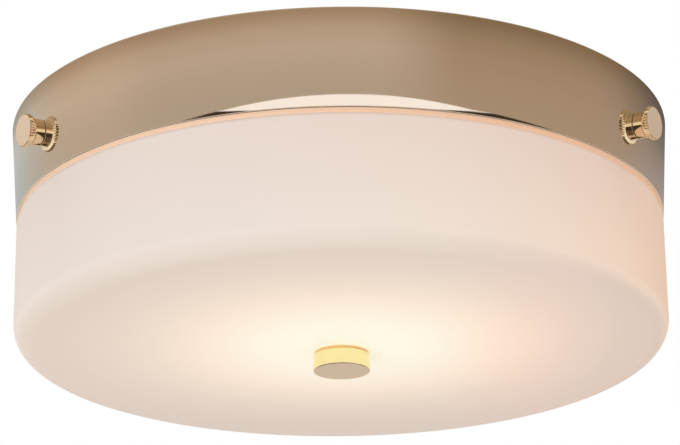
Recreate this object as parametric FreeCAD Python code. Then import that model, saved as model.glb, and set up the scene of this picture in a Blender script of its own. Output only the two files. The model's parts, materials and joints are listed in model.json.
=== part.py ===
"""Flush ceiling light with a polished metal canopy and an opal glass drum.

Millimetres, +Z up. The origin is the centre of the face that lies on the ceiling, so the light
hangs below z = 0. The front is -Y. A steel ceiling plate carries everything: three knurled thumb
screws hold the canopy to its ears, the canopy's rim lip carries a white gear tray with the two
lamps, and a rod from the tray runs down through the glass to the finial that holds it up.
"""
import FreeCAD, Part
import math
import os
from FreeCAD import Vector

# ---------------------------------------------------------------- driving dimensions
# canopy: a spun band, a little narrower at its rim than at the ceiling
CANOPY_TOP_R = 120.0
CANOPY_TAPER = 2.3
CANOPY_H = 35.0
CANOPY_SHEET = 1.2
CANOPY_FLANGE_W = 6.0
RIM_LIP_W = 7.5
RIM_EDGE_R = 0.8

# ceiling plate
PLATE_T = 1.5
PLATE_RIB_INSET = 14.0
PLATE_RIB_W = 6.0
PLATE_RIB_DEPTH = 1.5
FIXING_SPACING = 120.0
FIXING_SLOT_LEN = 24.0
FIXING_SLOT_R = 2.6
EAR_WALL_GAP = 7.35
EAR_REACH = 10.0
EAR_ROOT = 6.0
EAR_W = 24.0
EAR_BELOW_SCREW = 6.0
EAR_BEND_R = 2.0
CABLE_ENTRY_Y = 22.0
CABLE_HOLE_R = 8.0
GROMMET_BORE_R = 5.0
GROMMET_LIP_R = 10.5
GROMMET_LIP_T = 1.5

# thumb screws: one each side of the front and one behind
SCREW_DEPTH = 22.0
FRONT_SCREW_ANGLE = 57.0
SCREW_R = 1.5
SCREW_PAST_EAR = 2.5
HEAD_R = 5.85
HEAD_RIM_T = 1.4
HEAD_FLARE_LEN = 1.5
HEAD_BEVEL = 0.3
NECK_R = 4.6
SCREW_NECK_LEN = 3.3
SCREW_SOCKET = 4.2
WASHER_R = 4.2
WASHER_T = 0.4
BUSH_FLANGE_R = 6.2
BUSH_FLANGE_T = 1.3
BUSH_FLARE_LEN = 1.2
BUSH_NECK_LEN = 1.6
BUSH_SHANK_R = 3.5
BUSH_NUT_AF = 9.0
BUSH_NUT_T = 2.5
BUSH_PROUD = 0.5
KNURL_TEETH = 36
KNURL_DEPTH = 0.35

# gear tray, under the canopy, opening downwards
TRAY_WALL_INSET = 4.2
TRAY_T = 1.0
TRAY_DEPTH = 9.0
TRAY_BEND_R = 2.0
TRAY_SCREW_R = 1.5
TRAY_SCREW_HEAD_R = 2.8
TRAY_SCREW_HEAD_T = 1.6
LEAD_HOLE_R = 4.0

# opal glass drum
GLASS_INSET = 0.2
GLASS_T = 4.0
GLASS_BODY_H = 46.2
GLASS_RIM_GAP = 0.8
GLASS_NECK_GAP = 4.0
GLASS_FOOT_R = 7.5
GLASS_SHOULDER_R = 2.5
GLASS_HOLE_R = 6.0
GASKET_T = 3.0
GASKET_OVERLAP = 1.0

# centre rod and finial
ROD_R = 3.0
ROD_ABOVE_NUT = 2.0
ROD_NUT_AF = 10.0
ROD_NUT_T = 5.0
ROD_WASHER_R = 7.0
ROD_WASHER_T = 1.2
GLASS_BUSH_FLANGE_R = 9.0
GLASS_BUSH_FLANGE_T = 1.2
FINIAL_R = 10.2
FINIAL_T = 5.9
FINIAL_BEVEL = 0.35
FINIAL_WASHER_R = 9.9
FINIAL_WASHER_T = 1.0
FINIAL_THREAD = 3.4
FINIAL_BORE_SPARE = 1.4
FINIAL_BORE_CLEARANCE = 0.6

# lamps: two push-in capsules that lie side by side, pointing opposite ways
LAMP_SIDE_OFFSET = 20.0
LAMP_DROP = 15.0
LAMP_DOME_R = 7.6
LAMP_DOME_LEN = 29.0
LAMP_BASE_R = 8.2
LAMP_BASE_LEN = 11.0
PIN_SPACING = 9.0
PIN_LOOP_W = 3.0
PIN_WIRE_R = 0.45
PIN_LEN = 8.0
HOLDER_W = 21.0
HOLDER_H = 13.0
HOLDER_LEN = 15.0
HOLDER_CORNER_R = 3.0
HOLDER_FLANGE_W = 33.0
HOLDER_FLANGE_T = 3.0
HOLDER_SCREW_SPACING = 27.0
HOLDER_SCREW_R = 1.5
HOLDER_SCREW_HEAD_R = 2.7
HOLDER_SCREW_HEAD_T = 1.5
HOLDER_SCREW_PROUD = 1.5
BRACKET_T = 1.2
BRACKET_FOOT = 12.0
BRACKET_WINDOW_R = 3.5
RIVET_R = 1.6
RIVET_HEAD_R = 3.0
RIVET_HEAD_T = 1.0

# wiring
BLOCK_Y = -32.0
BLOCK_LEN = 18.0
BLOCK_PITCH = 12.0
BLOCK_BARREL_R = 3.9
BLOCK_NECK_W = 6.2
BLOCK_BASE_T = 3.0
BLOCK_BASE_CORNER_R = 2.0
BLOCK_BORE_R = 2.1
BLOCK_WELL_R = 2.0
BLOCK_WELL_FROM_END = 5.0
CLAMP_SCREW_R = 1.8
CLAMP_SCREW_LEN = 2.2
CLAMP_SCREW_SUNK = 0.5
CLAMP_SLOT_W = 0.7
BLOCK_FIXING_R = 1.5
BLOCK_FIXING_HEAD_R = 2.5
BLOCK_FIXING_HEAD_T = 1.6
SLEEVE_R = 1.9
WIRE_R = 0.8
EARTH_WIRE_R = 1.1
SLEEVE_ROUND_REAR = [(-47.0, -8.0), (-35.0, -34.0)]
SLEEVE_ROUND_FRONT = [(48.0, -38.0), (32.0, -47.0)]
WIRE_TURN = 15.0
WIRE_STRAIGHT_REAR = 14.0
WIRE_STRAIGHT_FRONT = 10.0
WIRE_LOOP_REAR = 20.0
WIRE_LOOP_FRONT = 30.0
WIRE_RISE_FRONT = 3.2
EARTH_WIRE_RUN = 9.0
EARTH_WIRE_SWAY = 3.0
EARTH_STUD_X = 30.0
EARTH_STUD_Y = -12.0
EARTH_STUD_R = 2.0
EARTH_STUD_LEN = 12.0
EARTH_WELD_R = 3.5
EARTH_WELD_T = 0.8
EARTH_TAG_R = 4.0
EARTH_TAG_T = 0.8
EARTH_TAG_TAIL_W = 3.0
EARTH_TAG_TAIL_LEN = 8.0
EARTH_BARREL_R = 1.8
EARTH_BARREL_LEN = 6.0
EARTH_NUT_AF = 7.0
EARTH_NUT_T = 3.2

# clearances
FIT = 0.05
HOLE_CLEARANCE = 0.3
SEAT_GAP = 0.2

# ---------------------------------------------------------------- derived levels and places
Z_AXIS = Vector(0, 0, 1)
X_AXIS = Vector(1, 0, 0)
ORIGIN = Vector(0, 0, 0)

rim_z = -CANOPY_H
lip_top_z = rim_z + CANOPY_SHEET
canopy_rim_r = CANOPY_TOP_R - CANOPY_TAPER
wall_slope = CANOPY_TAPER / CANOPY_H
wall_tilt = math.degrees(math.atan(wall_slope))
lip_inner_r = canopy_rim_r - RIM_LIP_W

tray_under_z = lip_top_z + TRAY_DEPTH
tray_top_z = tray_under_z + TRAY_T
tray_wall_r = lip_inner_r - TRAY_WALL_INSET
tray_flange_r = canopy_rim_r - CANOPY_SHEET - HOLE_CLEARANCE
tray_screw_r = (lip_inner_r + tray_flange_r) / 2

glass_r = canopy_rim_r - GLASS_INSET
glass_neck_r = tray_wall_r - TRAY_T - GLASS_NECK_GAP
glass_top_z = rim_z - GLASS_RIM_GAP
glass_bottom_z = glass_top_z - GLASS_BODY_H
glass_floor_z = glass_bottom_z + GLASS_T
glass_neck_top_z = tray_under_z - GASKET_T - SEAT_GAP

washer_under_z = glass_bottom_z - FINIAL_WASHER_T
finial_top_z = washer_under_z - FIT
finial_bottom_z = finial_top_z - FINIAL_T
rod_end_z = finial_top_z - FINIAL_THREAD
rod_top_z = tray_top_z + ROD_WASHER_T + ROD_NUT_T + ROD_ABOVE_NUT

lamp_z = tray_under_z - LAMP_DROP
lamp_half_len = (LAMP_DOME_LEN + LAMP_BASE_LEN) / 2
screw_azimuths = {"left": -90 - FRONT_SCREW_ANGLE, "right": -90 + FRONT_SCREW_ANGLE, "rear": 90.0}
wall_r_at_screw = CANOPY_TOP_R - wall_slope * SCREW_DEPTH
ear_r = wall_r_at_screw - CANOPY_SHEET - EAR_WALL_GAP
ear_inner_r = ear_r - PLATE_T
plate_r = ear_r - EAR_REACH
plate_rib_r = plate_r - PLATE_RIB_INSET
plate_under_z = -PLATE_T


# ---------------------------------------------------------------- drawing helpers
def rounded_edges(points, radii, closed):
    """Straight edges through the points, with a tangent arc at each corner that has a radius."""
    count = len(points)
    cuts = []
    for i, (point, radius) in enumerate(zip(points, radii)):
        if radius == 0 or (not closed and i in (0, count - 1)):
            cuts.append((point, None, point))
            continue
        back = (points[i - 1] - point).normalize()
        ahead = (points[(i + 1) % count] - point).normalize()
        half = back.getAngle(ahead) / 2
        middle = (back + ahead).normalize()
        reach = radius / math.tan(half)
        crown = point + middle * (radius / math.sin(half) - radius)
        cuts.append((point + back * reach, crown, point + ahead * reach))
    edges = []
    for i, (start, crown, end) in enumerate(cuts):
        if crown is not None:
            edges.append(Part.Arc(start, crown, end).toShape())
        if i + 1 < count or closed:
            following = cuts[(i + 1) % count][0]
            if end.distanceToPoint(following) > 1e-6:
                edges.append(Part.LineSegment(end, following).toShape())
    return edges


def outline(corners, plane="xy"):
    """A flat face from (a, b) or (a, b, radius) corners; plane xz is for profiles of revolution."""
    place = (lambda a, b: Vector(a, b, 0)) if plane == "xy" else (lambda a, b: Vector(a, 0, b))
    points = [place(c[0], c[1]) for c in corners]
    radii = [c[2] if len(c) > 2 else 0 for c in corners]
    return Part.Face(Part.Wire(rounded_edges(points, radii, True)))


def lathe(corners):
    """A solid of revolution about Z from a profile of (r, z) or (r, z, radius) corners."""
    return outline(corners, "xz").revolve(ORIGIN, Z_AXIS, 360)


def prism(corners, z, height):
    """An outline in plan, extruded upwards from z."""
    solid = outline(corners).extrude(Vector(0, 0, height))
    solid.translate(Vector(0, 0, z))
    return solid


def cylinder(radius, z, height, x=0.0, y=0.0):
    return Part.makeCylinder(radius, height, Vector(x, y, z))


def rod_along_x(radius, x0, x1, y=0.0, z=0.0):
    return Part.makeCylinder(radius, x1 - x0, Vector(x0, y, z), X_AXIS)


def ring(outer_r, inner_r, z, height):
    return cylinder(outer_r, z, height).cut(cylinder(inner_r, z - 1, height + 2))


def rounded_box(width, depth, corner_r, z, height):
    """A box centred in plan, with rounded upright edges."""
    a, b = width / 2, depth / 2
    return prism([(-a, -b, corner_r), (a, -b, corner_r), (a, b, corner_r), (-a, b, corner_r)], z, height)


def slot(length, radius, z, height):
    """A round-ended slot along X."""
    return rounded_box(length, 2 * radius, radius * 0.999, z, height)


def hexagon(across_flats, z, height, bore_r):
    """A hexagon nut with a plain bore."""
    corner_r = across_flats / math.sqrt(3)
    corners = [
        (corner_r * math.cos(math.radians(60 * i)), corner_r * math.sin(math.radians(60 * i)))
        for i in range(6)
    ]
    return prism(corners, z, height).cut(cylinder(bore_r, z - 1, height + 2))


def star(radius, z):
    """The cross-section of a straight knurl: a closed polygon of V teeth."""
    root = radius * (1 - KNURL_DEPTH / HEAD_R)
    step = math.pi / KNURL_TEETH
    points = []
    for i in range(2 * KNURL_TEETH + 1):
        r = radius if i % 2 == 0 else root
        points.append(Vector(r * math.cos(i * step), r * math.sin(i * step), z))
    points[-1] = points[0]
    return Part.makePolygon(points)


def knurled(profile, sections):
    """A turned profile about Z cut to a toothed skin that runs through (radius, z) sections."""
    skin = Part.makeLoft([star(radius, z) for radius, z in sections], True, True)
    return lathe(profile).common(skin)


def turned_about_z(shape, degrees, centre=ORIGIN):
    copy = shape.copy()
    copy.rotate(centre, Z_AXIS, degrees)
    return copy


def tube(points, radius, name):
    """A wire or sleeve: straight runs joined by arcs as large as the shorter run allows."""
    radii = [0.0]
    for before, point, after in zip(points, points[1:], points[2:]):
        back, ahead = before - point, after - point
        turn = math.pi - back.getAngle(ahead)
        radii.append(0.45 * min(back.Length, ahead.Length) / math.tan(turn / 2))
    radii.append(0.0)
    path = Part.Wire(rounded_edges(points, radii, False))
    section = Part.Wire(Part.Circle(points[0], points[1] - points[0], radius).toShape())
    solid = path.makePipeShell([section], True, False)
    expected = math.pi * radius**2 * path.Length
    bends = ", ".join(f"{r:.1f}" for r in radii[1:-1])
    print(f"{name}: length {path.Length:.1f}, bends {bends}, volume ratio {solid.Volume / expected:.4f}")
    return solid


def sagitta(half_width, radius):
    """How far a round wall falls away from a flat face of this half width laid on it."""
    return radius - math.sqrt(radius**2 - half_width**2)


def on_canopy_wall(shape, azimuth):
    """Carries a shape drawn about X, with the wall's outer face at x = 0, to its place on the canopy."""
    placed = shape.copy()
    placed.rotate(ORIGIN, Vector(0, 1, 0), wall_tilt)
    placed.translate(Vector(wall_r_at_screw, 0, -SCREW_DEPTH))
    placed.rotate(ORIGIN, Z_AXIS, azimuth)
    return placed


def about_x(shape):
    """Turns a shape made about Z so that its +Z runs along +X."""
    turned = shape.copy()
    turned.rotate(ORIGIN, Vector(0, 1, 0), 90)
    return turned


# ---------------------------------------------------------------- canopy and its thumb screws
def canopy():
    """One spun sheet: flange on the ceiling, tapered wall, inward lip at the rim."""
    t = CANOPY_SHEET
    shell = lathe([
        (CANOPY_TOP_R, 0, RIM_EDGE_R),
        (canopy_rim_r, rim_z, RIM_EDGE_R),
        (lip_inner_r, rim_z),
        (lip_inner_r, lip_top_z),
        (canopy_rim_r - t, lip_top_z),
        (CANOPY_TOP_R - t, -t),
        (CANOPY_TOP_R - CANOPY_FLANGE_W, -t),
        (CANOPY_TOP_R - CANOPY_FLANGE_W, 0),
    ])
    hole = rod_along_x(BUSH_SHANK_R + FIT, -2 * t, t)
    for azimuth in screw_azimuths.values():
        shell = shell.cut(on_canopy_wall(hole, azimuth))
    for azimuth in screw_azimuths.values():
        shell = shell.cut(tray_screw_hole(azimuth, TRAY_SCREW_R + FIT))
    return shell


def tray_screw_hole(azimuth, radius):
    """A drill through the rim lip and the tray flange, under a thumb screw."""
    drill = cylinder(radius, rim_z - 1, CANOPY_SHEET + TRAY_T + 2, tray_screw_r)
    return turned_about_z(drill, azimuth)


def screw_bush():
    """Knurled ferrule in the canopy wall; the thumb screw is threaded through it."""
    back = -(CANOPY_SHEET + nut_clearance() + BUSH_NUT_T + BUSH_PROUD)
    flare_end = BUSH_FLANGE_T + BUSH_FLARE_LEN
    flange = knurled([
        (0, 0),
        (BUSH_FLANGE_R - HEAD_BEVEL, 0),
        (BUSH_FLANGE_R, HEAD_BEVEL),
        (BUSH_FLANGE_R, BUSH_FLANGE_T),
        (NECK_R, flare_end),
        (0, flare_end),
    ], [(BUSH_FLANGE_R, 0), (BUSH_FLANGE_R, BUSH_FLANGE_T), (NECK_R, flare_end)])
    body = flange.fuse([cylinder(BUSH_SHANK_R, back, -back), cylinder(NECK_R, flare_end, BUSH_NECK_LEN)])
    body = body.removeSplitter()
    return about_x(body.cut(cylinder(SCREW_R + FIT, back - 1, bush_reach() - back + 2)))


def bush_reach():
    """How far the ferrule stands out of the canopy wall."""
    return BUSH_FLANGE_T + BUSH_FLARE_LEN + BUSH_NECK_LEN


def nut_clearance():
    """Lets the flat nut lie inside the round wall without cutting into it."""
    return sagitta(BUSH_NUT_AF / math.sqrt(3), wall_r_at_screw - CANOPY_SHEET) + 2 * FIT


def bush_nut():
    start = -(CANOPY_SHEET + nut_clearance() + BUSH_NUT_T)
    return about_x(hexagon(BUSH_NUT_AF, start, BUSH_NUT_T, BUSH_SHANK_R + FIT))


def screw_washer():
    """Thin dark washer between the ferrule and the screw's neck; it travels with the screw."""
    return about_x(ring(WASHER_R, SCREW_R + FIT, bush_reach(), WASHER_T))


def screw_neck_start():
    """Where the thumb screw's neck begins, outside the ferrule and its washer."""
    return bush_reach() + WASHER_T + FIT


def thumb_screw():
    """Flared knurled head on a smooth neck, with a socket for its stem."""
    neck = screw_neck_start()
    flare = neck + SCREW_NECK_LEN
    rim = flare + HEAD_FLARE_LEN
    face = rim + HEAD_RIM_T
    head = knurled([
        (0, flare),
        (NECK_R, flare),
        (HEAD_R, rim),
        (HEAD_R, face - HEAD_BEVEL),
        (HEAD_R - HEAD_BEVEL, face),
        (0, face),
    ], [(NECK_R, flare), (HEAD_R, rim), (HEAD_R, face)])
    turned = head.fuse(cylinder(NECK_R, neck, SCREW_NECK_LEN)).removeSplitter()
    return about_x(turned.cut(cylinder(SCREW_R + FIT, neck - 1, SCREW_SOCKET + 1)))


def screw_stem():
    """Threaded stem, fixed in the head's socket, that reaches through the plate's ear."""
    tip = -(wall_r_at_screw - ear_inner_r) / math.cos(math.radians(wall_tilt)) - SCREW_PAST_EAR
    return about_x(lathe([
        (0, tip),
        (SCREW_R - HEAD_BEVEL, tip),
        (SCREW_R, tip + HEAD_BEVEL),
        (SCREW_R, screw_neck_start() + SCREW_SOCKET),
        (0, screw_neck_start() + SCREW_SOCKET),
    ]))


# ---------------------------------------------------------------- ceiling plate
def plate_ear():
    """A tongue of the plate, bent down behind the canopy wall, with a hole for the screw's tip."""
    low = -SCREW_DEPTH - EAR_BELOW_SCREW
    profile = outline([
        (plate_r - EAR_ROOT, 0),
        (ear_r, 0, EAR_BEND_R + PLATE_T),
        (ear_r, low),
        (ear_inner_r, low),
        (ear_inner_r, plate_under_z, EAR_BEND_R),
        (plate_r - EAR_ROOT, plate_under_z),
    ], "xz")
    ear = profile.extrude(Vector(0, EAR_W, 0))
    ear.translate(Vector(0, -EAR_W / 2, 0))
    return ear


def ceiling_plate():
    """Pressed steel disc with a stiffening rib, two pairs of fixing slots and three ears."""
    rib_in, rib_out = plate_rib_r - PLATE_RIB_W / 2, plate_rib_r + PLATE_RIB_W / 2
    slope = PLATE_RIB_DEPTH
    plate = lathe([
        (0, 0),
        (rib_in, 0),
        (rib_in + slope, -PLATE_RIB_DEPTH),
        (rib_out - slope, -PLATE_RIB_DEPTH),
        (rib_out, 0),
        (plate_r, 0),
        (plate_r, plate_under_z),
        (rib_out + PLATE_T / 2, plate_under_z),
        (rib_out - slope + PLATE_T / 2, plate_under_z - PLATE_RIB_DEPTH),
        (rib_in + slope - PLATE_T / 2, plate_under_z - PLATE_RIB_DEPTH),
        (rib_in - PLATE_T / 2, plate_under_z),
        (0, plate_under_z),
    ])
    for azimuth in screw_azimuths.values():
        plate = plate.fuse(turned_about_z(plate_ear(), azimuth))
    plate = plate.removeSplitter()
    tip_hole = rod_along_x(SCREW_R + HOLE_CLEARANCE, ear_r - wall_r_at_screw - 3 * PLATE_T, 0)
    for azimuth in screw_azimuths.values():
        plate = plate.cut(on_canopy_wall(tip_hole, azimuth))
    fixing = slot(FIXING_SLOT_LEN, FIXING_SLOT_R, -2 * PLATE_T, 3 * PLATE_T)
    for side in (-1, 1):
        across = fixing.copy()
        across.translate(Vector(side * FIXING_SPACING / 2, 0, 0))
        plate = plate.cut(across).cut(turned_about_z(across, 90))
    plate = plate.cut(cylinder(CABLE_HOLE_R, -2 * PLATE_T, 3 * PLATE_T, 0, CABLE_ENTRY_Y))
    block_hole = cylinder(BLOCK_FIXING_R + FIT, -2 * PLATE_T, 3 * PLATE_T, block_fixing_x, BLOCK_Y)
    return plate.cut(block_hole)


def cable_grommet():
    """Rubber ring gripping the edge of the cable hole, flush with the ceiling side."""
    waist = CABLE_HOLE_R - FIT
    low = plate_under_z - FIT - GROMMET_LIP_T
    grommet = lathe([
        (GROMMET_BORE_R, 0),
        (waist, 0),
        (waist, plate_under_z - FIT),
        (GROMMET_LIP_R, plate_under_z - FIT),
        (GROMMET_LIP_R, low, GROMMET_LIP_T / 2),
        (GROMMET_BORE_R, low),
    ])
    grommet.translate(Vector(0, CABLE_ENTRY_Y, 0))
    return grommet


# ---------------------------------------------------------------- gear tray
def gear_tray():
    """White pressed tray: a flange on the canopy's lip, an upright wall and a flat floor above."""
    t = TRAY_T
    tray = lathe([
        (0, tray_top_z),
        (0, tray_under_z),
        (tray_wall_r - t, tray_under_z, TRAY_BEND_R),
        (tray_wall_r - t, lip_top_z),
        (tray_flange_r, lip_top_z),
        (tray_flange_r, lip_top_z + t),
        (tray_wall_r, lip_top_z + t),
        (tray_wall_r, tray_top_z, TRAY_BEND_R + t),
    ])
    tray = tray.cut(cylinder(ROD_R + HOLE_CLEARANCE, tray_under_z - 1, t + 2))
    for azimuth in screw_azimuths.values():
        tray = tray.cut(tray_screw_hole(azimuth, TRAY_SCREW_R + HOLE_CLEARANCE))
    for turn in (0, 180):
        tray = tray.cut(turned_about_z(lead_hole(), turn))
        for rivet_y in bracket_rivet_ys():
            hole = cylinder(RIVET_R + FIT, tray_under_z - 1, t + 2, bracket_rivet_x(), rivet_y)
            tray = tray.cut(turned_about_z(hole, turn))
    return tray


def lead_hole():
    return cylinder(LEAD_HOLE_R, tray_under_z - 1, TRAY_T + 2, lead_corner_x(), LAMP_SIDE_OFFSET)


def pan_screw(head_r, head_t, shank_r, length):
    """Slotted pan-head screw about Z, its head's underside at z = 0 and its shank below."""
    screw = lathe([
        (0, -length),
        (shank_r, -length),
        (shank_r, 0),
        (head_r, 0),
        (head_r, head_t, head_t * 0.6),
        (0, head_t),
    ])
    kerf = Part.makeBox(2 * head_r + 2, head_r / 3, head_t, Vector(-head_r - 1, -head_r / 6, head_t / 2))
    return screw.cut(kerf)


def tray_screws():
    """Three screws that clamp the tray's flange to the canopy's lip."""
    one = pan_screw(TRAY_SCREW_HEAD_R, TRAY_SCREW_HEAD_T, TRAY_SCREW_R, TRAY_T + CANOPY_SHEET)
    one.translate(Vector(tray_screw_r, 0, lip_top_z + TRAY_T))
    return Part.makeCompound([turned_about_z(one, azimuth) for azimuth in screw_azimuths.values()])


def glass_gasket():
    """Foam ring under the tray that the glass neck presses against."""
    outer = glass_neck_r + GASKET_OVERLAP
    inner = glass_neck_r - GLASS_T - GASKET_OVERLAP
    return ring(outer, inner, tray_under_z - GASKET_T, GASKET_T)


# ---------------------------------------------------------------- glass, rod and finial
def glass_shade():
    """Blown opal drum: flat floor with a round foot, straight side, shoulder and narrower neck."""
    inner_r = glass_r - GLASS_T
    shade = lathe([
        (GLASS_HOLE_R, glass_bottom_z),
        (glass_r, glass_bottom_z, GLASS_FOOT_R),
        (glass_r, glass_top_z, GLASS_SHOULDER_R),
        (glass_neck_r, glass_top_z, GLASS_T / 2),
        (glass_neck_r, glass_neck_top_z, GLASS_T / 4),
        (glass_neck_r - GLASS_T, glass_neck_top_z, GLASS_T / 4),
        (glass_neck_r - GLASS_T, glass_top_z - GLASS_T, GLASS_T / 2),
        (inner_r, glass_top_z - GLASS_T, GLASS_T / 4),
        (inner_r, glass_floor_z, GLASS_FOOT_R - GLASS_T / 2),
        (GLASS_HOLE_R, glass_floor_z),
    ])
    return shade


def glass_bush():
    """Plastic sleeve that keeps the rod off the edge of the hole in the glass."""
    return lathe([
        (ROD_R + HOLE_CLEARANCE, glass_bottom_z + SEAT_GAP),
        (GLASS_HOLE_R - SEAT_GAP, glass_bottom_z + SEAT_GAP),
        (GLASS_HOLE_R - SEAT_GAP, glass_floor_z),
        (GLASS_BUSH_FLANGE_R, glass_floor_z),
        (GLASS_BUSH_FLANGE_R, glass_floor_z + GLASS_BUSH_FLANGE_T),
        (ROD_R + HOLE_CLEARANCE, glass_floor_z + GLASS_BUSH_FLANGE_T),
    ])


def finial_washer():
    """Thin washer between the glass and the finial."""
    return ring(FINIAL_WASHER_R, ROD_R + HOLE_CLEARANCE, washer_under_z, FINIAL_WASHER_T)


def finial():
    """Polished disc nut on the end of the rod, with a blind threaded hole."""
    cap = lathe([
        (0, finial_top_z),
        (FINIAL_R - FINIAL_BEVEL, finial_top_z),
        (FINIAL_R, finial_top_z - FINIAL_BEVEL),
        (FINIAL_R, finial_bottom_z + FINIAL_BEVEL),
        (FINIAL_R - FINIAL_BEVEL, finial_bottom_z),
        (0, finial_bottom_z),
    ])
    bore_len = FINIAL_THREAD + FINIAL_BORE_SPARE + 1
    bore = cylinder(ROD_R + FINIAL_BORE_CLEARANCE, rod_end_z - FINIAL_BORE_SPARE, bore_len)
    return cap.cut(bore)


def centre_rod():
    chamfer = ROD_R / 5
    return lathe([
        (0, rod_end_z),
        (ROD_R - chamfer, rod_end_z),
        (ROD_R, rod_end_z + chamfer),
        (ROD_R, rod_top_z),
        (0, rod_top_z),
    ])


def rod_nut(above):
    start = tray_top_z + ROD_WASHER_T if above else tray_under_z - ROD_WASHER_T - ROD_NUT_T
    return hexagon(ROD_NUT_AF, start, ROD_NUT_T, ROD_R + FIT)


def rod_washers():
    """Plain washers above and below the tray floor."""
    above = ring(ROD_WASHER_R, ROD_R + FIT, tray_top_z, ROD_WASHER_T)
    below = ring(ROD_WASHER_R, ROD_R + FIT, tray_under_z - ROD_WASHER_T, ROD_WASHER_T)
    return Part.makeCompound([above, below])


# ---------------------------------------------------------------- lamps, drawn for the rear side
holder_front_x = -lamp_half_len
holder_back_x = holder_front_x - HOLDER_LEN
bracket_back_x = holder_back_x - BRACKET_T
holder_place = Vector(0, LAMP_SIDE_OFFSET, lamp_z)


def bracket_rivet_x():
    return bracket_back_x - BRACKET_FOOT / 2


def bracket_rivet_ys():
    reach = HOLDER_SCREW_SPACING / 2
    return (LAMP_SIDE_OFFSET - reach, LAMP_SIDE_OFFSET + reach)


def lead_corner_x():
    """Where the lamp lead turns up through the tray, clear of the bracket's foot."""
    return bracket_back_x - BRACKET_FOOT - LEAD_HOLE_R - SLEEVE_R


def pin_loop(y):
    """One hairpin contact: two legs and the round end that joins them."""
    half = PIN_LOOP_W / 2
    leg_end = -(PIN_LEN - half)
    points = [Vector(0, y - half, 0), Vector(leg_end, y - half, 0)]
    crown = Vector(leg_end - half, y, 0)
    other = [Vector(leg_end, y + half, 0), Vector(0, y + half, 0)]
    path = Part.Wire([
        Part.LineSegment(*points).toShape(),
        Part.Arc(points[1], crown, other[0]).toShape(),
        Part.LineSegment(*other).toShape(),
    ])
    section = Part.Wire(Part.Circle(points[0], X_AXIS, PIN_WIRE_R).toShape())
    return path.makePipeShell([section], True, False)


def lamp_base():
    """The capsule's ring base with its two hairpin pins."""
    base = about_x(lathe([
        (0, 0),
        (LAMP_BASE_R * 0.9, 0),
        (LAMP_BASE_R, 1.5),
        (LAMP_BASE_R, LAMP_BASE_LEN),
        (0, LAMP_BASE_LEN),
    ]))
    for side in (-1, 1):
        base = base.fuse(pin_loop(side * PIN_SPACING / 2))
    base.translate(Vector(holder_front_x, 0, 0) + holder_place)
    return base


def lamp_dome():
    """Frosted cover with a round end."""
    dome = about_x(lathe([
        (0, 0),
        (LAMP_DOME_R, 0),
        (LAMP_DOME_R, LAMP_DOME_LEN, LAMP_DOME_R * 0.98),
        (0, LAMP_DOME_LEN),
    ]))
    dome.translate(Vector(holder_front_x + LAMP_BASE_LEN, 0, 0) + holder_place)
    return dome


def lamp_holder():
    """Ceramic push-in holder with a slot for each pin and a screw flange at its back."""
    body = rounded_box(HOLDER_H, HOLDER_W, HOLDER_CORNER_R, -HOLDER_LEN, HOLDER_LEN)
    flange = rounded_box(HOLDER_H, HOLDER_FLANGE_W, HOLDER_CORNER_R, -HOLDER_LEN, HOLDER_FLANGE_T)
    holder = body.fuse(flange).removeSplitter()
    slot_w, slot_l = 2 * PIN_WIRE_R + 4 * HOLE_CLEARANCE, PIN_LOOP_W + 2 * PIN_WIRE_R + 4 * HOLE_CLEARANCE
    depth = PIN_LEN + 2 * HOLE_CLEARANCE
    for side in (-1, 1):
        corner = Vector(-slot_w / 2, side * PIN_SPACING / 2 - slot_l / 2, -depth)
        holder = holder.cut(Part.makeBox(slot_w, slot_l, depth + 1, corner))
        screw_y = side * HOLDER_SCREW_SPACING / 2
        holder = holder.cut(cylinder(HOLDER_SCREW_R + FIT, -HOLDER_LEN - 1, HOLDER_FLANGE_T + 2, 0, screw_y))
    holder = about_x(holder)
    holder.translate(Vector(holder_front_x, 0, 0) + holder_place)
    return holder


def holder_bracket():
    """Bent steel bracket: its foot is riveted under the tray and its upright carries the holder."""
    low = lamp_z - HOLDER_H / 2
    profile = outline([
        (bracket_back_x - BRACKET_FOOT, tray_under_z),
        (bracket_back_x - BRACKET_FOOT, tray_under_z - BRACKET_T),
        (bracket_back_x, tray_under_z - BRACKET_T, BRACKET_T),
        (bracket_back_x, low),
        (holder_back_x, low),
        (holder_back_x, tray_under_z, 2 * BRACKET_T),
    ], "xz")
    bracket = profile.extrude(Vector(0, HOLDER_FLANGE_W, 0))
    bracket.translate(Vector(0, LAMP_SIDE_OFFSET - HOLDER_FLANGE_W / 2, 0))
    window = rod_along_x(BRACKET_WINDOW_R, bracket_back_x - 1, holder_back_x + 1, LAMP_SIDE_OFFSET, lamp_z)
    bracket = bracket.cut(window)
    rivet_x = bracket_rivet_x()
    for y in bracket_rivet_ys():
        screw_hole = rod_along_x(HOLDER_SCREW_R + FIT, bracket_back_x - 1, holder_back_x + 1, y, lamp_z)
        bracket = bracket.cut(screw_hole)
        rivet_hole = cylinder(RIVET_R + FIT, tray_under_z - 2 * BRACKET_T, 3 * BRACKET_T, rivet_x, y)
        bracket = bracket.cut(rivet_hole)
    return bracket


def holder_screws():
    """Two screws through the holder's flange into the bracket."""
    length = HOLDER_FLANGE_T + BRACKET_T + HOLDER_SCREW_PROUD
    one = about_x(pan_screw(HOLDER_SCREW_HEAD_R, HOLDER_SCREW_HEAD_T, HOLDER_SCREW_R, length))
    screws = []
    for y in bracket_rivet_ys():
        screw = one.copy()
        screw.translate(Vector(holder_back_x + HOLDER_FLANGE_T, y, lamp_z))
        screws.append(screw)
    return Part.makeCompound(screws)


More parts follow.
